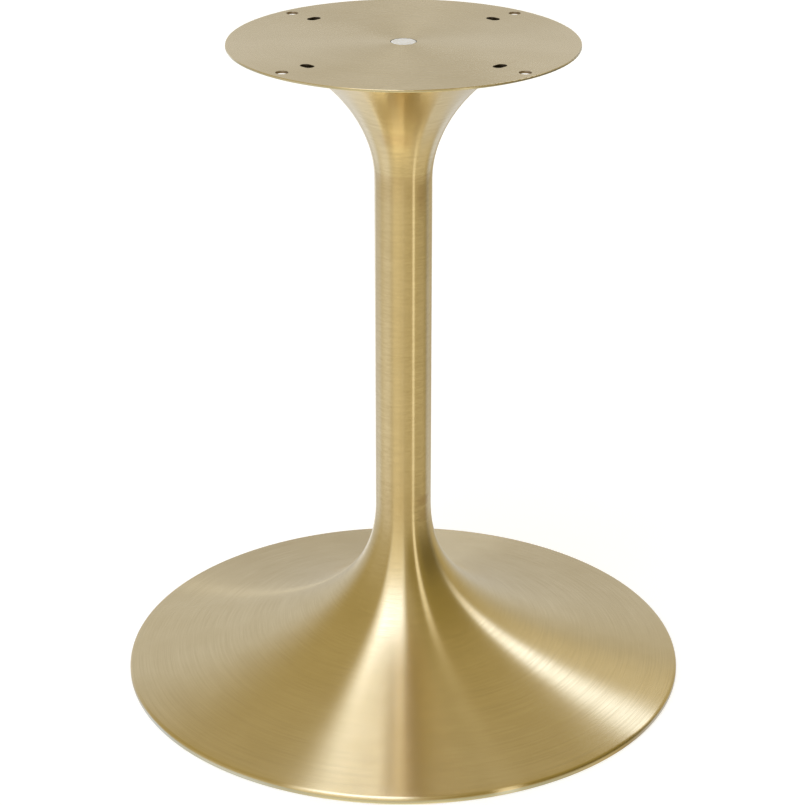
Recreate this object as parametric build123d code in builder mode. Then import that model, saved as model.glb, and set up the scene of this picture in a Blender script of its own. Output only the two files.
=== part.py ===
import os
from math import cos, hypot, radians, tan

from build123d import *

os.makedirs("parts", exist_ok=True)

# Overall sizes, in millimetres. The origin is on the floor, under the middle of the column.
plate_top = 710
foot_diameter = 615
column_diameter = 60.3
wall = 2

# Foot: a spun trumpet with a vertical tube at its neck and a short turned-down lip at its rim
foot_neck_height = 195
foot_rim_slope = 10
foot_fullness = 1.2
rim_height = 8
rim_radius = 4
rim_floor_gap = 1

# Flare: the smaller trumpet that carries the plate
flare_neck_height = 566
flare_lip_diameter = 294
flare_lip_slope = 16
flare_fullness = 0.71

# Plate under the table top: the screw holes are set in from its edge, the slots from the flare's lip
plate_diameter = 361
plate_thickness = 2.5
plate_edge_radius = 0.6
screw_hole_diameter = 12
screw_hole_inset = 14
slot_width = 10
slot_length = 15
slot_inset = 14
hole_count = 4
first_hole_angle = 45
deburr = 0.5
access_hole_diameter = 26

# White cap in the access hole
cap_edge_radius = 0.4
cap_gap = 0.2
cap_skirt_depth = 8
cap_wall = 1.6
cap_bead = 0.7

# Tie rod with a nut and washer at each end
rod_diameter = 12
rod_hole_gap = 0.5
thread_gap = 0.05
rod_end_length = 4
rod_end_chamfer = 1.5
nut_across_flats = 19
nut_height = 10.8
nut_chamfer_angle = 30
washer_diameter = 24
washer_thickness = 2.5

# Disc in the flare and weight in the foot, which the tie rod draws together. The weight's edge is
# set in from the foot's rim.
seat_gap = 0.2
clamp_disc_diameter = 100
clamp_disc_thickness = 6
weight_inset = 70
weight_thickness = 8
hub_diameter = 80
hub_height = 24
hub_fillet = 6
hub_edge_radius = 2
nut_pocket_diameter = 32
nut_pocket_depth = 15

# Rubber glides pushed into the weight, set in from its edge
glide_count = 6
glide_inset = 40
glide_diameter = 32
glide_spigot_diameter = 10
glide_spigot_length = 6
glide_spigot_gap = 0.1
glide_edge_radius = 2

column_radius = column_diameter / 2
foot_radius = foot_diameter / 2
plate_radius = plate_diameter / 2
lip_radius = flare_lip_diameter / 2
plate_underside = plate_top - plate_thickness
screw_circle_radius = plate_radius - screw_hole_inset
slot_circle_radius = lip_radius - slot_inset
weight_radius = foot_radius - weight_inset
glide_circle_radius = weight_radius - glide_inset

# Points on the inside of a trumpet's wall, and halvings that find one of them by its radius
inside_steps = 12
bisections = 50


# Control points of a trumpet's outline. The curve leaves the column upright, reaches the rim
# at the given slope, and hugs the corner between the two more closely as fullness grows.
def trumpet_controls(neck_z, rim_r, rim_z, slope):
    towards_neck = 1 if neck_z > rim_z else -1
    corner_z = rim_z + towards_neck * (rim_r - column_radius) * tan(radians(slope))
    return (column_radius, neck_z), (column_radius, corner_z), (rim_r, rim_z)


# Point at a share t of the way from neck to rim, set in from the outline by the given depth
def trumpet_point(controls, fullness, t, depth):
    shares = (1 - t) ** 2, 2 * fullness * t * (1 - t), t**2
    rates = 2 * t - 2, 2 * fullness * (1 - 2 * t), 2 * t
    r, z = (sum(s * p[i] for s, p in zip(shares, controls)) / sum(shares) for i in (0, 1))
    run = sum(s * p[0] for s, p in zip(rates, controls)) - r * sum(rates)
    rise = sum(s * p[1] for s, p in zip(rates, controls)) - z * sum(rates)
    length = hypot(run, rise)
    towards_floor = -1 if controls[0][1] > controls[2][1] else 1
    return r - depth * abs(rise) / length, z + towards_floor * depth * run / length


# Share of the way from neck to rim at which the inside of the wall has the given radius
def inside_share(controls, fullness, radius):
    low, high = 0.0, 1.0
    for _ in range(bisections):
        middle = (low + high) / 2
        if trumpet_point(controls, fullness, middle, wall)[0] < radius:
            low = middle
        else:
            high = middle
    return low


# Inside of a trumpet's wall from the neck to the given share, as points for a spline
def inside_points(controls, fullness, last_share):
    shares = [last_share * step / inside_steps for step in range(inside_steps + 1)]
    return [trumpet_point(controls, fullness, share, wall) for share in shares]


foot_controls = trumpet_controls(foot_neck_height, foot_radius, rim_height, foot_rim_slope)
flare_controls = trumpet_controls(flare_neck_height, lip_radius, plate_underside, flare_lip_slope)

# The weight seats under the foot's wall by its upper edge, the disc in the flare by its lower one
weight_share = inside_share(foot_controls, foot_fullness, weight_radius)
weight_top = trumpet_point(foot_controls, foot_fullness, weight_share, wall)[1] - seat_gap
weight_underside = weight_top - weight_thickness
pocket_roof = weight_underside + nut_pocket_depth
disc_share = inside_share(flare_controls, flare_fullness, clamp_disc_diameter / 2)
disc_underside = trumpet_point(flare_controls, flare_fullness, disc_share, wall)[1] + seat_gap
disc_top = disc_underside + clamp_disc_thickness
rod_hole_diameter = rod_diameter + 2 * rod_hole_gap


# Foot: the outline is drawn once and given its wall, then the rim is rolled over
with BuildPart() as base_trumpet:
    with BuildSketch(Plane.XZ):
        with BuildLine():
            outside = Bezier(*foot_controls, weights=[1, foot_fullness, 1])
            lip_share = inside_share(foot_controls, foot_fullness, foot_radius - wall)
            inside = Spline(inside_points(foot_controls, foot_fullness, lip_share))
            Line(outside @ 0, inside @ 0)
            Polyline(
                outside @ 1,
                (foot_radius, rim_floor_gap),
                (foot_radius - wall, rim_floor_gap),
                inside @ 1,
            )
        make_face()
    revolve(axis=Axis.Z)
    corners = base_trumpet.edges().filter_by(GeomType.CIRCLE)
    outer_corner = corners.group_by(SortBy.RADIUS)[-1].sort_by(Axis.Z)[-1]
    fillet(outer_corner, rim_radius)
    inner_corner = corners.group_by(SortBy.RADIUS)[-2].sort_by(Axis.Z)[-1]
    fillet(inner_corner, rim_radius - wall)
base_trumpet.part.label = "base_trumpet"
export_step(base_trumpet.part, "parts/base_trumpet.step")


# Column: a plain tube that runs from neck to neck
with BuildPart() as column_tube:
    with BuildSketch(Plane.XY.offset(foot_neck_height)):
        Circle(column_radius)
        Circle(column_radius - wall, mode=Mode.SUBTRACT)
    extrude(amount=flare_neck_height - foot_neck_height)
column_tube.part.label = "column_tube"
export_step(column_tube.part, "parts/column_tube.step")


# Flare: its lip is ground flat where it carries the plate
with BuildPart() as top_flare:
    with BuildSketch(Plane.XZ):
        with BuildLine():
            outside = Bezier(*flare_controls, weights=[1, flare_fullness, 1])
            inside = Spline(inside_points(flare_controls, flare_fullness, 1))
            Line(outside @ 0, inside @ 0)
            Line(outside @ 1, inside @ 1)
        make_face()
    revolve(axis=Axis.Z)
    split(bisect_by=Plane.XY.offset(plate_underside), keep=Keep.BOTTOM)
top_flare.part.label = "top_flare"
export_step(top_flare.part, "parts/top_flare.step")


# Plate: screw holes outside the flare's lip, slots inside it, and the access hole in the middle
with BuildPart() as top_plate:
    with BuildSketch(Plane.XY.offset(plate_underside)):
        Circle(plate_radius)
    extrude(amount=plate_thickness)
    rim_edges = top_plate.edges().filter_by(GeomType.CIRCLE)
    fillet(rim_edges, plate_edge_radius)
    with BuildSketch(Plane.XY.offset(plate_underside)):
        Circle(access_hole_diameter / 2)
        with PolarLocations(screw_circle_radius, hole_count, first_hole_angle):
            Circle(screw_hole_diameter / 2)
        with PolarLocations(slot_circle_radius, hole_count, first_hole_angle):
            SlotOverall(slot_length, slot_width, rotation=90)
    extrude(amount=plate_thickness, mode=Mode.SUBTRACT)
    top_face = top_plate.faces().filter_by(Plane.XY).sort_by(Axis.Z)[-1]
    chamfer([edge for hole in top_face.inner_wires() for edge in hole.edges()], deburr)
top_plate.part.label = "top_plate"
export_step(top_plate.part, "parts/top_plate.step")


# Cap: a thin cup that closes the access hole flush, held by a bead below the plate
with BuildPart() as hole_cap:
    cap_radius = access_hole_diameter / 2 - cap_gap
    with BuildSketch(Plane.XZ):
        with BuildLine():
            Polyline(
                (0, plate_top),
                (cap_radius, plate_top),
                (cap_radius, plate_underside - cap_gap),
                (cap_radius + cap_bead, plate_underside - cap_gap),
                (cap_radius, plate_top - cap_skirt_depth),
                (cap_radius - cap_wall, plate_top - cap_skirt_depth),
                (cap_radius - cap_wall, plate_top - cap_wall),
                (0, plate_top - cap_wall),
                close=True,
            )
        make_face()
    revolve(axis=Axis.Z)
    fillet(hole_cap.faces().sort_by(Axis.Z)[-1].edges(), cap_edge_radius)
hole_cap.part.label = "hole_cap"
export_step(hole_cap.part, "parts/hole_cap.step")


# Disc that drops into the flare until its edge seats
with BuildPart() as clamp_disc:
    with BuildSketch(Plane.XY.offset(disc_underside)):
        Circle(clamp_disc_diameter / 2)
        Circle(rod_hole_diameter / 2, mode=Mode.SUBTRACT)
    extrude(amount=clamp_disc_thickness)
clamp_disc.part.label = "clamp_disc"
export_step(clamp_disc.part, "parts/clamp_disc.step")


# Cast weight: a flat disc with a hub that hides the lower nut, and holes for the glides
with BuildPart() as cast_weight:
    with BuildSketch(Plane.XY.offset(weight_underside)):
        Circle(weight_radius)
    extrude(amount=weight_thickness)
    with BuildSketch(Plane.XY.offset(weight_underside)):
        Circle(hub_diameter / 2)
    extrude(amount=hub_height)
    hub_rings = cast_weight.edges().filter_by(GeomType.CIRCLE).group_by(SortBy.RADIUS)[0]
    fillet(hub_rings.sort_by(Axis.Z)[-2], hub_fillet)
    fillet(cast_weight.edges().sort_by(Axis.Z)[-1], hub_edge_radius)
    with BuildSketch(Plane.XY.offset(weight_underside)):
        Circle(rod_hole_diameter / 2)
        with PolarLocations(glide_circle_radius, glide_count):
            Circle(glide_spigot_diameter / 2 + glide_spigot_gap)
    extrude(amount=hub_height, mode=Mode.SUBTRACT)
    with BuildSketch(Plane.XY.offset(weight_underside)):
        Circle(nut_pocket_diameter / 2)
    extrude(amount=nut_pocket_depth, mode=Mode.SUBTRACT)
cast_weight.part.label = "cast_weight"
export_step(cast_weight.part, "parts/cast_weight.step")


# Washers: one on the disc, one against the roof of the hub's pocket
for name, seat_z in (("upper_washer", disc_top), ("lower_washer", pocket_roof - washer_thickness)):
    with BuildPart() as washer:
        with BuildSketch(Plane.XY.offset(seat_z)):
            Circle(washer_diameter / 2)
            Circle(rod_hole_diameter / 2, mode=Mode.SUBTRACT)
        extrude(amount=washer_thickness)
    washer.part.label = name
    export_step(washer.part, f"parts/{name}.step")


# Nuts: hexagons whose corners are turned away at both faces
upper_nut_z = disc_top + washer_thickness
lower_nut_z = pocket_roof - washer_thickness - nut_height
for name, nut_z in (("upper_nut", upper_nut_z), ("lower_nut", lower_nut_z)):
    with BuildPart() as nut:
        with BuildSketch(Plane.XY.offset(nut_z)):
            RegularPolygon(nut_across_flats / 2, 6, major_radius=False)
        extrude(amount=nut_height)
        corner_drop = nut_across_flats * (1 / cos(radians(30)) - 1) / 2 * tan(radians(nut_chamfer_angle))
        with BuildSketch(Plane.XZ):
            with BuildLine():
                outer = nut_across_flats / 2 / cos(radians(30))
                Polyline(
                    (0, nut_z),
                    (nut_across_flats / 2, nut_z),
                    (outer, nut_z + corner_drop),
                    (outer, nut_z + nut_height - corner_drop),
                    (nut_across_flats / 2, nut_z + nut_height),
                    (0, nut_z + nut_height),
                    close=True,
                )
            make_face()
        revolve(axis=Axis.Z, mode=Mode.INTERSECT)
        with BuildSketch(Plane.XY.offset(nut_z)):
            Circle(rod_diameter / 2 + thread_gap)
        extrude(amount=nut_height, mode=Mode.SUBTRACT)
    nut.part.label = name
    export_step(nut.part, f"parts/{name}.step")


# Tie rod: it stands a little past the upper nut, and ends inside the hub's pocket
with BuildPart() as tie_rod:
    with BuildSketch(Plane.XY.offset(lower_nut_z)):
        Circle(rod_diameter / 2)
    extrude(amount=upper_nut_z + nut_height + rod_end_length - lower_nut_z)
    chamfer(tie_rod.edges().filter_by(GeomType.CIRCLE), rod_end_chamfer)
tie_rod.part.label = "tie_rod"
export_step(tie_rod.part, "parts/tie_rod.step")


# Glides: rubber pads, each with a spigot that pushes into the weight
glide_places = PolarLocations(glide_circle_radius, glide_count).locations
for number, place in enumerate(glide_places, start=1):
    with BuildPart(Plane(place)) as glide:
        Cylinder(glide_diameter / 2, weight_underside, align=(Align.CENTER, Align.CENTER, Align.MIN))
        fillet(glide.edges().filter_by(GeomType.CIRCLE).sort_by(Axis.Z)[0], glide_edge_radius)
        with BuildSketch(Plane(place).offset(weight_underside)):
            Circle(glide_spigot_diameter / 2)
        extrude(amount=glide_spigot_length)
    glide.part.label = f"glide_{number}"
    export_step(glide.part, f"parts/glide_{number}.step")
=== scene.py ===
import math

import bpy
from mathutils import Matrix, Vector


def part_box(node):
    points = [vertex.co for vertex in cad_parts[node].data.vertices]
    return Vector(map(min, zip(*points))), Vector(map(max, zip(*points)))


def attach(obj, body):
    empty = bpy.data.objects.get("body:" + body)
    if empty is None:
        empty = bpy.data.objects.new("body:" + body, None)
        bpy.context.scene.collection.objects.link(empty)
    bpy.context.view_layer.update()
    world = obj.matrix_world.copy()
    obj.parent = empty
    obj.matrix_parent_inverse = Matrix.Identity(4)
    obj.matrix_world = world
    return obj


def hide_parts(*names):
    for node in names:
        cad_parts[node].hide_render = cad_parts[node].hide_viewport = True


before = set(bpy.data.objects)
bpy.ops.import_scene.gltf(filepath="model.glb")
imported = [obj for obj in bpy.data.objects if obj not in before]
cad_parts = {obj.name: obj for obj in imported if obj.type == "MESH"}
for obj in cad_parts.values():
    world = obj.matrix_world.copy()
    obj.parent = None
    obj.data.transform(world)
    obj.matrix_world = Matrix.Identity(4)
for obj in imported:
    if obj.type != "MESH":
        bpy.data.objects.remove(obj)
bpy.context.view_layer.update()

print("frame loaded:", len(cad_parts), "nodes")


# small helpers for object mode and edit mode

def pickOnly(obj):
    if bpy.context.mode != "OBJECT":
        bpy.ops.object.mode_set(mode="OBJECT")
    bpy.ops.object.select_all(action="DESELECT")
    obj.select_set(True)
    bpy.context.view_layer.objects.active = obj


def pickRing(obj, height, near=1e-5):
    # leaves the object in edit mode with only the edges picked that run round the axis at this height
    pickOnly(obj)
    points = obj.data.vertices
    for group in (points, obj.data.edges, obj.data.polygons):
        for element in group:
            element.select = False
    for edge in obj.data.edges:
        ends = [points[i].co for i in edge.vertices]
        radii = [math.hypot(end.x, end.y) for end in ends]
        level = all(abs(end.z - height) <= near for end in ends)
        edge.select = level and abs(radii[0] - radii[1]) <= near
    bpy.ops.object.mode_set(mode="EDIT")
    bpy.ops.mesh.select_mode(type="EDGE")


def finishPiece(obj, node, smoothAngle):
    pickOnly(obj)
    bpy.ops.object.shade_smooth_by_angle(angle=math.radians(smoothAngle))
    bpy.ops.object.transform_apply(location=True, rotation=True, scale=True)
    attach(obj, "root")
    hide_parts(node)


# small helpers for node trees

noiseSpread = (0.3, 0.7)    # nearly all values of a noise lie between these


def addNode(tree, kind, inputs=None, **settings):
    node = tree.nodes.new(kind)
    for key, value in settings.items():
        setattr(node, key, value)
    for key, value in (inputs or {}).items():
        if isinstance(value, bpy.types.NodeSocket):
            tree.links.new(value, node.inputs[key])
        else:
            node.inputs[key].default_value = value
    return node


def calc(tree, operation, first, second=0.0, third=0.0):
    return addNode(tree, "ShaderNodeMath", {0: first, 1: second, 2: third}, operation=operation).outputs[0]


def smoothBand(tree, value, low, high, start=0.0, end=1.0):
    inputs = {"Value": value, "From Min": low, "From Max": high, "To Min": start, "To Max": end}
    return addNode(tree, "ShaderNodeMapRange", inputs, interpolation_type="SMOOTHSTEP").outputs[0]


def spreadNoise(tree, noise, start=0.0, end=1.0):
    return smoothBand(tree, noise, *noiseSpread, start, end)


def window(tree, value, start, end, soft):
    # 1 between start and end, falling softly to 0 outside
    rise = smoothBand(tree, value, start - soft, start + soft)
    fall = smoothBand(tree, value, end - soft, end + soft, 1.0, 0.0)
    return calc(tree, "MULTIPLY", rise, fall)


def turnOf(tree, parts):
    # degrees round the axis, 0 at the front and positive to the right
    turn = calc(tree, "ARCTAN2", parts[0], calc(tree, "MULTIPLY", parts[1], -1.0))
    return calc(tree, "MULTIPLY", turn, 180.0 / math.pi)


def scaled(tree, vector, factor):
    return addNode(tree, "ShaderNodeVectorMath", {0: vector, 3: factor}, operation="SCALE").outputs[0]


def noiseAt(tree, vector, detail, roughness):
    inputs = {"Vector": vector, "Scale": 1.0, "Detail": detail, "Roughness": roughness}
    return addNode(tree, "ShaderNodeTexNoise", inputs).outputs["Fac"]


def patchNoise(tree, patchesPerMetre, detail, roughness):
    place = addNode(tree, "ShaderNodeTexCoord").outputs["Object"]
    return noiseAt(tree, scaled(tree, place, patchesPerMetre), detail, roughness)


def mixColours(tree, share, first, second):
    node = addNode(tree, "ShaderNodeMix", {0: share}, data_type="RGBA")
    for socket, value in ((node.inputs[6], first), (node.inputs[7], second)):
        if isinstance(value, bpy.types.NodeSocket):
            tree.links.new(value, socket)
        else:
            socket.default_value = (*value, 1.0)
    return node.outputs[2]


def addRelief(tree, shader, height, depth, strength):
    bump = addNode(tree, "ShaderNodeBump", {"Height": height, "Distance": depth, "Strength": strength})
    tree.links.new(bump.outputs[0], shader.inputs["Normal"])


def newMaterial(name):
    material = bpy.data.materials.new(name)
    material.use_nodes = True
    return material, material.node_tree, material.node_tree.nodes["Principled BSDF"]


# brushed brass: all the polishing lines run round the axis

brass = {
    "paleTone": (0.79, 0.665, 0.425),
    "deepTone": (0.755, 0.63, 0.39),
    "scratchTone": (0.56, 0.45, 0.255),
    "stainTone": (0.40, 0.23, 0.10),
    "paintedShadeTone": (0.085, 0.065, 0.045),    # painted shade: the walls of the slots, and edges on the side in shade
    "holeShadeTone": (0.34, 0.27, 0.19),    # painted shade: the walls of the screw holes
    "edgeReflectionTone": (0.60, 0.62, 0.55),    # painted reflection: the edges of the foot and the plate, paled as if mirroring the pale floor
    # waviness round the axis, pitch in metres, noise detail, noise roughness
    "lines": (3.0, 0.0011, 3.0, 0.6),
    "bands": (1.2, 0.0036, 2.0, 0.6),
    "strokeSpread": (0.35, 0.7),    # the noise at which a line or a band begins and is full
    "mottle": (20.0, 3.0, 0.55),    # patches per metre, noise detail, noise roughness
    "markPatchiness": 0.75,    # what is left of a mark between the lines
    "roughnessSwing": 0.02,
    "streakTurn": 0.25,    # a quarter turn, so a light is drawn out across the lines
}

# path: how a step outward and a step upward count along the outline
# streak: how far a light is drawn out. lineShare and bandShare: how strongly lines and bands show
footGrain = {"path": (1.0, -1.0), "roughness": 0.24, "streak": 1.0,
             "lineShare": 0.22, "bandShare": 0.06, "lineDepth": 0.000022}
tubeGrain = {"path": (0.0, 1.0), "roughness": 0.24, "streak": 1.0,
             "lineShare": 0.19, "bandShare": 0.13, "lineDepth": 0.000030}
flareGrain = {**tubeGrain, "path": (1.0, 1.0)}
plateGrain = {"path": (1.0, 0.0), "roughness": 0.26, "streak": 0.7,
              "lineShare": 0.04, "bandShare": 0.03, "lineDepth": 0.000010}

# the plate's cut walls, where painted shade goes: each pair says where they fade out and where they are
# full.
# upright is how far a face looks up, the other two are distances from the axis
cutWalls = {"upright": (0.99, 0.95), "slots": (0.152, 0.150), "holes": (0.1745, 0.1735),
            "addedRoughness": 0.3}

# painted reflection and painted shade on the edges, pale where they face the light and dark on the side in
# shade, and marks where the pieces were joined and ground flush:
# heights and turns with their softness, strength, tone
# the first two are painted light on the foot's lip: a painted reflection on the lit side, painted shade on
# the side in shade
footMarksAndEdgeShading = (((-0.010, 0.0052, 0.0008), (-70, 38, 12), 0.85, "edgeReflectionTone"),
             ((-0.010, 0.0052, 0.0008), (48, 115, 8), 0.30, "paintedShadeTone"),
             ((0.1768, 0.1785, 0.0009), (4, 58, 10), 0.5, "paleTone"),
             ((0.181, 0.193, 0.004), (34, 62, 9), 0.22, "stainTone"))
tubeMarks = (((0.1958, 0.1972, 0.0009), (4, 58, 10), 0.5, "paleTone"),
             ((0.199, 0.209, 0.003), (32, 62, 8), 0.35, "stainTone"),
             ((0.548, 0.570, 0.010), (-70, 70, 20), 0.10, "stainTone"),
             ((0.535, 0.572, 0.012), (30, 47, 7), 0.28, "stainTone"))
flareMarks = (((0.560, 0.5755, 0.0008), (-170, 170, 5), 0.12, "stainTone"),
              ((0.611, 0.625, 0.004), (-32, 12, 8), 0.22, "stainTone"))
# painted light on the plate's edge: a painted reflection all round, painted shade on the side in shade
plateEdgeShading = (((0.700, 0.7094, 0.0003), (-181, 181, 0.5), 0.60, "edgeReflectionTone"),
              ((0.700, 0.7094, 0.0003), (24, 110, 10), 0.50, "paintedShadeTone"))


def placeParts(tree):
    place = addNode(tree, "ShaderNodeTexCoord").outputs["Object"]
    return addNode(tree, "ShaderNodeSeparateXYZ", {0: place}).outputs


def ringCoordinates(tree, parts, outward, upward):
    # the direction from the axis, and the distance along the outline
    flat = addNode(tree, "ShaderNodeCombineXYZ", {0: parts[0], 1: parts[1]}).outputs[0]
    radius = addNode(tree, "ShaderNodeVectorMath", {0: flat}, operation="LENGTH").outputs["Value"]
    direction = addNode(tree, "ShaderNodeVectorMath", {0: flat}, operation="NORMALIZE").outputs[0]
    along = calc(tree, "MULTIPLY_ADD", radius, outward, calc(tree, "MULTIPLY", parts[2], upward))
    return direction, along


def ringNoise(tree, direction, along, waviness, pitch, detail, roughness):
    parts = addNode(tree, "ShaderNodeSeparateXYZ", {0: scaled(tree, direction, waviness)}).outputs
    step = calc(tree, "MULTIPLY", along, 1.0 / pitch)
    vector = addNode(tree, "ShaderNodeCombineXYZ", {0: parts[0], 1: parts[1], 2: step}).outputs[0]
    return noiseAt(tree, vector, detail, roughness)


def addShadedCutWalls(tree, tone, rough, radius):
    # painted shade: the walls of the slots are painted dark and those of the screw holes brownish,
    # standing in for the shade inside them; the walls of the screw holes are also made rougher
    faceNormal = addNode(tree, "ShaderNodeNewGeometry").outputs["True Normal"]
    upright = addNode(tree, "ShaderNodeSeparateXYZ", {0: faceNormal}).outputs[2]
    walls = smoothBand(tree, calc(tree, "ABSOLUTE", upright), *cutWalls["upright"])
    slotWalls = calc(tree, "MULTIPLY", walls, smoothBand(tree, radius, *cutWalls["slots"]))
    holeWalls = calc(tree, "MULTIPLY", walls, smoothBand(tree, radius, *cutWalls["holes"]))
    tone = mixColours(tree, holeWalls, tone, brass["holeShadeTone"])
    tone = mixColours(tree, slotWalls, tone, brass["paintedShadeTone"])
    return tone, calc(tree, "MULTIPLY_ADD", holeWalls, cutWalls["addedRoughness"], rough)


def brushedBrass(name, grain, marks):
    material, tree, shader = newMaterial(name)
    parts = placeParts(tree)
    turn = turnOf(tree, parts)
    direction, along = ringCoordinates(tree, parts, *grain["path"])
    lines = ringNoise(tree, direction, along, *brass["lines"])
    bands = ringNoise(tree, direction, along, *brass["bands"])
    mottle = patchNoise(tree, *brass["mottle"])

    tone = mixColours(tree, spreadNoise(tree, mottle), brass["deepTone"], brass["paleTone"])
    for strokes, strength in ((bands, grain["bandShare"]), (lines, grain["lineShare"])):
        share = smoothBand(tree, strokes, *brass["strokeSpread"], 0.0, strength)
        tone = mixColours(tree, share, tone, brass["scratchTone"])
    for heights, turns, strength, toneName in marks:
        patchy = spreadNoise(tree, lines, brass["markPatchiness"] * strength, strength)
        share = calc(tree, "MULTIPLY", window(tree, parts[2], *heights), window(tree, turn, *turns))
        tone = mixColours(tree, calc(tree, "MULTIPLY", share, patchy), tone, brass[toneName])
    rough = spreadNoise(tree, lines, grain["roughness"] - brass["roughnessSwing"],
                        grain["roughness"] + brass["roughnessSwing"])
    if grain is plateGrain:
        tone, rough = addShadedCutWalls(tree, tone, rough, along)

    tree.links.new(tone, shader.inputs["Base Color"])
    tree.links.new(rough, shader.inputs["Roughness"])
    addRelief(tree, shader, lines, grain["lineDepth"], 1.0)
    tangent = addNode(tree, "ShaderNodeTangent", direction_type="RADIAL", axis="Z")
    tree.links.new(tangent.outputs[0], shader.inputs["Tangent"])
    shader.inputs["Metallic"].default_value = 1.0
    shader.inputs["Anisotropic"].default_value = grain["streak"]
    shader.inputs["Anisotropic Rotation"].default_value = brass["streakTurn"]
    return material


footBrass = brushedBrass("brushed_brass_foot", footGrain, footMarksAndEdgeShading)
tubeBrass = brushedBrass("brushed_brass_tube", tubeGrain, tubeMarks)
flareBrass = brushedBrass("brushed_brass_flare", flareGrain, flareMarks)
plateBrass = brushedBrass("brushed_brass_top", plateGrain, plateEdgeShading)


# the hidden face of the spun pieces was never polished, and its very dark tone is painted shade for the
# hollow inside the shells

shadedRawMetal = {
    "path": (1.0, -1.0),
    "rings": (1.5, 0.004, 3.0, 0.6),
    "mottle": (25.0, 5.0, 0.6),
    # painted shade: these tones are kept very dark to stand in for the shade inside the shells
    "tones": ((0.07, 0.058, 0.044), (0.13, 0.11, 0.085)),
    "roughness": (0.45, 0.62),
    "relief": (0.0001, 0.6),    # depth and strength
}


def shadedRawInside():
    material, tree, shader = newMaterial("raw_inside_painted_shade")
    direction, along = ringCoordinates(tree, placeParts(tree), *shadedRawMetal["path"])
    rings = ringNoise(tree, direction, along, *shadedRawMetal["rings"])
    dull = patchNoise(tree, *shadedRawMetal["mottle"])
    tone = mixColours(tree, spreadNoise(tree, dull), *shadedRawMetal["tones"])
    tree.links.new(tone, shader.inputs["Base Color"])
    tree.links.new(spreadNoise(tree, rings, *shadedRawMetal["roughness"]), shader.inputs["Roughness"])
    shader.inputs["Metallic"].default_value = 1.0
    addRelief(tree, shader, rings, *shadedRawMetal["relief"])
    return material


shadedShellInside = shadedRawInside()
print("brass materials made")


# spun shells: a ring of edges is extruded and widened along the outline, then given its wall

shells = {"wall": 0.002, "sides": 360, "smoothAngle": 35.0}
foot = {"rimSlope": 10.0, "fullness": 1.2, "rimHeight": 0.008, "rimRadius": 0.004,
        "steps": 56, "rimSegments": 8, "lipEdge": 0.0004, "lipSegments": 2}
tube = {"rings": 24}
flare = {"lipSlope": 16.0, "fullness": 0.71, "steps": 44, "lipCut": 1e-6}
leastGrowth = 1e-7    # a ring that grows less than this share isn't resized


def outlinePoint(neck, corner, rim, fullness, share):
    # a conic from neck to rim that hugs the corner more closely as fullness grows
    weights = ((1 - share) ** 2, 2 * fullness * share * (1 - share), share ** 2)
    total = sum(weights)
    return tuple(sum(w * p[i] for w, p in zip(weights, (neck, corner, rim))) / total for i in (0, 1))


def startRing(name, radius, height):
    # leaves the ring in edit mode with all its edges picked
    bpy.ops.object.select_all(action="DESELECT")
    bpy.ops.mesh.primitive_circle_add(vertices=shells["sides"], radius=radius, fill_type="NOTHING",
                                      location=(0, 0, height))
    shell = bpy.context.object
    shell.name = name
    shell.data.name = name
    bpy.ops.object.transform_apply(location=True)
    bpy.ops.object.mode_set(mode="EDIT")
    bpy.ops.mesh.select_mode(type="EDGE")
    bpy.ops.mesh.select_all(action="SELECT")
    return shell


def extrudeRingTo(current, target):
    bpy.ops.mesh.extrude_edges_move(TRANSFORM_OT_translate={"value": (0, 0, target[1] - current[1])})
    growth = target[0] / current[0]
    if abs(growth - 1.0) > leastGrowth:
        bpy.ops.transform.resize(value=(growth, growth, 1.0), center_override=(0.0, 0.0, target[1]))


def faceOutwards(shell):
    bpy.ops.mesh.select_all(action="SELECT")
    bpy.ops.mesh.normals_make_consistent(inside=False)
    bpy.ops.object.mode_set(mode="OBJECT")
    first = shell.data.polygons[0]
    if first.normal.x * first.center.x + first.normal.y * first.center.y < 0:
        bpy.ops.object.mode_set(mode="EDIT")
        bpy.ops.mesh.flip_normals()
        bpy.ops.object.mode_set(mode="OBJECT")


def spunSurface(name, neck, rim, slope, settings, lastPoints=()):
    towardsNeck = 1.0 if neck[1] > rim[1] else -1.0
    corner = (neck[0], rim[1] + towardsNeck * (rim[0] - neck[0]) * math.tan(math.radians(slope)))
    shell = startRing(name, *neck)
    steps = settings["steps"]
    points = [outlinePoint(neck, corner, rim, settings["fullness"], step / steps)
              for step in range(1, steps + 1)]
    here = neck
    for there in (*points, *lastPoints):
        extrudeRingTo(here, there)
        here = there
    faceOutwards(shell)
    return shell


def roundRing(shell, height, width, segments):
    pickRing(shell, height)
    bpy.ops.mesh.bevel(offset=width, segments=segments, affect="EDGES")
    bpy.ops.object.mode_set(mode="OBJECT")


def giveWall(shell, outsideMaterial):
    shell.data.materials.append(outsideMaterial)
    shell.data.materials.append(shadedShellInside)
    pickOnly(shell)
    bpy.ops.object.modifier_add(type="SOLIDIFY")
    solidify = shell.modifiers[-1]
    solidify.thickness = shells["wall"]
    solidify.offset = -1.0
    solidify.use_even_offset = True
    solidify.material_offset = 1
    bpy.ops.object.modifier_apply(modifier=solidify.name)


def spinFoot():
    low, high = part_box("base_trumpet")
    neck = (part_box("column_tube")[1].x, high.z)
    rim = (high.x, foot["rimHeight"])
    shell = spunSurface("spun_foot", neck, rim, foot["rimSlope"], foot, lastPoints=((high.x, low.z),))
    rollOff = foot["rimRadius"] * math.tan(math.radians(90.0 - foot["rimSlope"]) / 2)
    roundRing(shell, rim[1], rollOff, foot["rimSegments"])
    giveWall(shell, footBrass)
    roundRing(shell, low.z, foot["lipEdge"], foot["lipSegments"])
    finishPiece(shell, "base_trumpet", shells["smoothAngle"])


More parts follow.
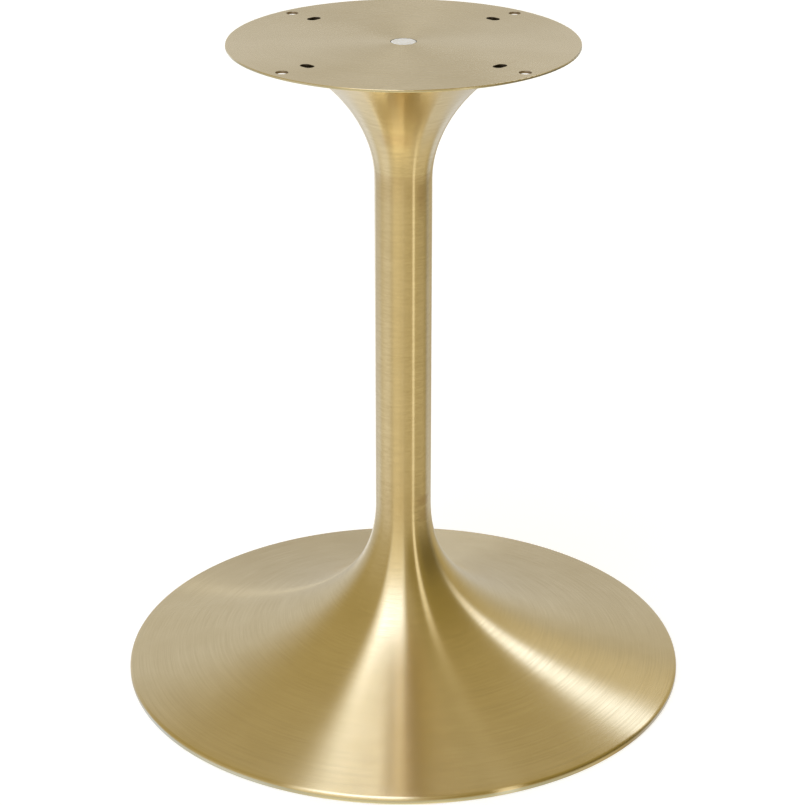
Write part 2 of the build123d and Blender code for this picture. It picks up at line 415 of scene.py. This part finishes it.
def drawTube():
    low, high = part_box("column_tube")
    shell = startRing("drawn_tube", high.x, low.z)
    rise = (high.z - low.z) / tube["rings"]
    for ring in range(tube["rings"]):
        bpy.ops.mesh.extrude_edges_move(TRANSFORM_OT_translate={"value": (0, 0, rise)})
    faceOutwards(shell)
    giveWall(shell, tubeBrass)
    finishPiece(shell, "column_tube", shells["smoothAngle"])


def spinFlare():
    low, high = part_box("top_flare")
    neck = (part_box("column_tube")[1].x, low.z)
    shell = spunSurface("spun_flare", neck, (high.x, high.z), flare["lipSlope"], flare)
    giveWall(shell, flareBrass)
    # the lip is cut level where it carries the plate
    cutHeight = high.z - flare["lipCut"]
    pickOnly(shell)
    bpy.ops.object.mode_set(mode="EDIT")
    bpy.ops.mesh.select_all(action="SELECT")
    bpy.ops.mesh.bisect(plane_co=(0, 0, cutHeight), plane_no=(0, 0, 1), clear_outer=True)
    bpy.ops.object.mode_set(mode="OBJECT")
    pickRing(shell, cutHeight, near=2 * flare["lipCut"])
    bpy.ops.mesh.bridge_edge_loops()
    bpy.ops.object.mode_set(mode="OBJECT")
    finishPiece(shell, "top_flare", shells["smoothAngle"])


spinFoot()
print("foot spun")
drawTube()
print("tube drawn")
spinFlare()
print("flare spun")


# the pieces that keep their own mesh. Mottle and relief are patches per metre, noise detail and noise
# roughness. toneSpread is left out where the noise itself mixes the tones, and relief where there is none

whitePlastic = {"mottle": (900.0, 3.0, 0.6), "tones": ((0.93, 0.945, 1.0), (0.96, 0.97, 1.0)),
                "roughness": (0.42, 0.55), "metallic": 0.0,
                "relief": (900.0, 3.0, 0.6), "reliefDepth": (0.00003, 0.5)}
paintedIron = {"mottle": (40.0, 5.0, 0.6), "tones": ((0.022, 0.022, 0.024), (0.07, 0.065, 0.06)),
               "toneSpread": (0.45, 0.75), "roughness": (0.5, 0.68), "metallic": 0.0,
               "relief": (700.0, 6.0, 0.65), "reliefDepth": (0.0005, 0.8)}
zincSteel = {"mottle": (220.0, 4.0, 0.6), "tones": ((0.42, 0.42, 0.43), (0.62, 0.62, 0.61)),
             "toneSpread": noiseSpread, "roughness": (0.26, 0.44), "metallic": 1.0}
greyRubber = {"mottle": (500.0, 4.0, 0.6), "tones": ((0.035, 0.035, 0.036), (0.075, 0.075, 0.075)),
              "roughness": (0.7, 0.85), "metallic": 0.0,
              "relief": (500.0, 4.0, 0.6), "reliefDepth": (0.0002, 0.5)}


def plainFinish(name, finish):
    material, tree, shader = newMaterial(name)
    mottle = patchNoise(tree, *finish["mottle"])
    share = mottle
    if "toneSpread" in finish:
        share = smoothBand(tree, mottle, *finish["toneSpread"])
    tree.links.new(mixColours(tree, share, *finish["tones"]), shader.inputs["Base Color"])
    tree.links.new(spreadNoise(tree, mottle, *finish["roughness"]), shader.inputs["Roughness"])
    shader.inputs["Metallic"].default_value = finish["metallic"]
    if "relief" in finish:
        addRelief(tree, shader, patchNoise(tree, *finish["relief"]), *finish["reliefDepth"])
    return material


finishOfNode = {"top_plate": plateBrass, "hole_cap": plainFinish("moulded_white", whitePlastic),
                "cast_weight": plainFinish("painted_casting", paintedIron)}
steel = plainFinish("zinc_steel", zincSteel)
rubber = plainFinish("moulded_rubber", greyRubber)
for name in ("clamp_disc", "tie_rod", "upper_nut", "lower_nut", "upper_washer", "lower_washer"):
    finishOfNode[name] = steel
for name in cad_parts:
    if name.startswith("glide_"):
        finishOfNode[name] = rubber
for name, material in finishOfNode.items():
    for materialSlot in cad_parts[name].material_slots:
        materialSlot.material = material
print("kept nodes finished:", len(finishOfNode))


# studio: a pale room with soft lights and gold cards. A brushed piece shows each of them as a streak,
# so turn says which way round the base the streak stands, 0 at the front and positive to the right,
# and lean says how far the faces that show it are turned up, 0 on the tube and 90 on the plate

studio = {
    "frontElevation": 30.0,
    "strength": 2.0,
    "goldGreen": 0.17,
    "goldBlue": 0.60,
    "room": (0.68, 0.03),    # brightness, and warmth from bluish below 0 to gold at 1
    # name, turn from and to and its softness, lean from and to and its softness, brightness, warmth
    "panels": (
        ("pale room at the sides", (-180, 180, 0.1), (-16, 8, 8), 0.68, -0.2),
        ("pale room, right", (40, 110, 20), (-16, 8, 8), 0.62, -0.1),
        ("pale room, behind the neck", (-125, -84, 8), (8, 34, 6), 1.15, -0.1),
        ("pale floor", (-180, 180, 0.1), (-95, -22, 10), 0.80, -0.3),
        ("pale floor, left", (-56, -16, 8), (-95, -20, 10), 0.98, 0.05),
        ("pale floor, right", (20, 52, 8), (-95, -20, 10), 0.80, 0.15),
        ("gold card, left", (-68, 6, 18), (-14, 84, 6), 0.49, 1.0),
        ("gold card, right", (2, 86, 22), (-14, 84, 6), 0.50, 1.0),
        ("gold card, middle", (-12, 12, 6), (56, 88, 4), 0.44, 1.2),
        ("left card on the tube", (-54, -22, 14), (-14, 9, 6), 1.02, 0.12),
        ("middle card on the tube", (-24, -5, 8), (-14, 9, 6), 0.79, 0.66),
        ("right card on the tube", (-1, 52, 10), (-14, 9, 6), 0.79, 0.68),
        ("pale edge of the left card", (-76, -54, 8), (-34, 9, 6), 0.97, -0.30),
        ("pale edge of the right card", (57, 88, 7), (-34, 9, 6), 0.85, -0.30),
        ("dark gold, slope left", (-64, -26, 12), (33, 58, 8), 0.45, 1.05),
        ("dark gold, slope right", (13, 60, 10), (33, 58, 8), 0.33, 1.25),
        ("dark gold, neck middle", (6, 34, 6), (12, 34, 6), 0.31, 1.25),
        ("brown, neck right", (30, 64, 8), (12, 34, 6), 0.12, 1.3),
        ("dark gold, neck left", (-54, -24, 8), (12, 34, 6), 0.57, 0.75),
        ("key light", (-22.8, 0.9, 3.2), (20, 88, 6), 1.36, 0.0),
        ("key light, middle", (-18.9, 0.6, 3.0), (44, 62, 8), 2.40, -0.7),
        ("key light, by the flag", (-8.0, 0.6, 2.2), (56, 72, 5), 2.60, -0.4),
        ("key light, rim", (-7.2, 0.8, 2.4), (76, 90, 4), 2.20, 0.2),
        ("key light, neck", (-21.5, 0.2, 3.0), (10, 33, 7), 0.95, 0.60),
        ("black flag", (1.1, 5.9, 0.6), (62, 84, 8), 0.18, 1.6),
        ("strip light", (19.3, 23.9, 0.8), (-10, 54, 8), 1.16, 0.45),
        ("right light, low", (57, 64, 2), (46, 66, 8), 1.30, 0.2),
        ("right light, glow", (57, 82, 6), (64, 86, 6), 0.80, 0.6),
        ("right light, slope", (57.8, 66.2, 2.3), (60, 72, 4), 2.00, -0.6),
        ("right light, rim", (62.2, 69.4, 2.3), (72, 88, 4), 2.10, -0.8),
        ("soft light behind left", (-113.8, -110.8, 1.2), (40, 84, 8), 0.92, 0.1),
        ("gold card under the flare", (-30, 27, 5), (-95, -16, 6), 1.20, 0.75),
        ("glow under the flare", (-18, 11, 6), (-95, -15, 6), 2.35, 0.80),
        ("ceiling", (-180, 180, 0.1), (82, 95, 3), 0.57, 0.15),
    ),
}


def lightColour(brightness, warmth):
    share = brightness / studio["strength"]
    return (share, share * (1 - studio["goldGreen"] * warmth), share * (1 - studio["goldBlue"] * warmth))


def surround():
    world = bpy.data.worlds.new("studio_surround")
    bpy.context.scene.world = world
    world.use_nodes = True
    tree = world.node_tree
    tree.nodes.clear()
    # half way between a light and the front is the way a face looks that shows this light
    tilt = math.radians(studio["frontElevation"])
    front = (0.0, -math.cos(tilt), math.sin(tilt))
    direction = addNode(tree, "ShaderNodeTexCoord").outputs["Generated"]
    total = addNode(tree, "ShaderNodeVectorMath", {0: direction, 1: front}, operation="ADD").outputs[0]
    halfway = addNode(tree, "ShaderNodeVectorMath", {0: total}, operation="NORMALIZE").outputs[0]
    parts = addNode(tree, "ShaderNodeSeparateXYZ", {0: halfway}).outputs
    turn = turnOf(tree, parts)
    lean = calc(tree, "MULTIPLY", calc(tree, "ARCSINE", parts[2]), 180.0 / math.pi)
    colour = lightColour(*studio["room"])
    for name, turns, leans, brightness, warmth in studio["panels"]:
        mask = calc(tree, "MULTIPLY", window(tree, turn, *turns), window(tree, lean, *leans))
        colour = mixColours(tree, mask, colour, lightColour(brightness, warmth))
    light = addNode(tree, "ShaderNodeBackground", {"Color": colour, "Strength": studio["strength"]})
    # what shows behind the base is plain white
    white = addNode(tree, "ShaderNodeBackground", {"Color": (1, 1, 1, 1), "Strength": 1.0})
    seen = addNode(tree, "ShaderNodeLightPath").outputs["Is Camera Ray"]
    mixed = addNode(tree, "ShaderNodeMixShader", {0: seen, 1: light.outputs[0], 2: white.outputs[0]})
    addNode(tree, "ShaderNodeOutputWorld", {"Surface": mixed.outputs[0]})


surround()
bpy.context.scene.view_settings.view_transform = "Standard"

ground = {"size": 16.0, "tone": (0.55, 0.55, 0.55, 1.0), "roughness": 0.9,
          "glowTone": (1.0, 1.0, 1.0, 1.0), "glow": 0.68}


def paleFloor():
    bpy.ops.object.select_all(action="DESELECT")
    bpy.ops.mesh.primitive_plane_add(size=ground["size"], location=(0, 0, 0))
    floor = bpy.context.object
    floor.name = "pale_floor"
    material, tree, shader = newMaterial("pale_floor")
    shader.inputs["Base Color"].default_value = ground["tone"]
    shader.inputs["Roughness"].default_value = ground["roughness"]
    shader.inputs["Emission Color"].default_value = ground["glowTone"]
    shader.inputs["Emission Strength"].default_value = ground["glow"]
    floor.data.materials.append(material)
    floor.visible_glossy = False    # the brass mirrors the surround's own pale floor instead


paleFloor()

camera = {"place": (-0.0009, -2.3029, 1.3090), "pitch": 23.421, "roll": 0.017,
          "lens": 103.82, "sensor": 36.0}


def aimCamera():
    bpy.ops.object.camera_add(location=camera["place"])
    cam = bpy.context.object
    cam.name = "view"
    cam.data.lens = camera["lens"]
    cam.data.sensor_width = camera["sensor"]
    cam.rotation_mode = "ZXY"
    cam.rotation_euler = (math.radians(90.0 - camera["pitch"]), 0.0, math.radians(camera["roll"]))
    bpy.context.scene.camera = cam


aimCamera()
print("studio and camera placed")
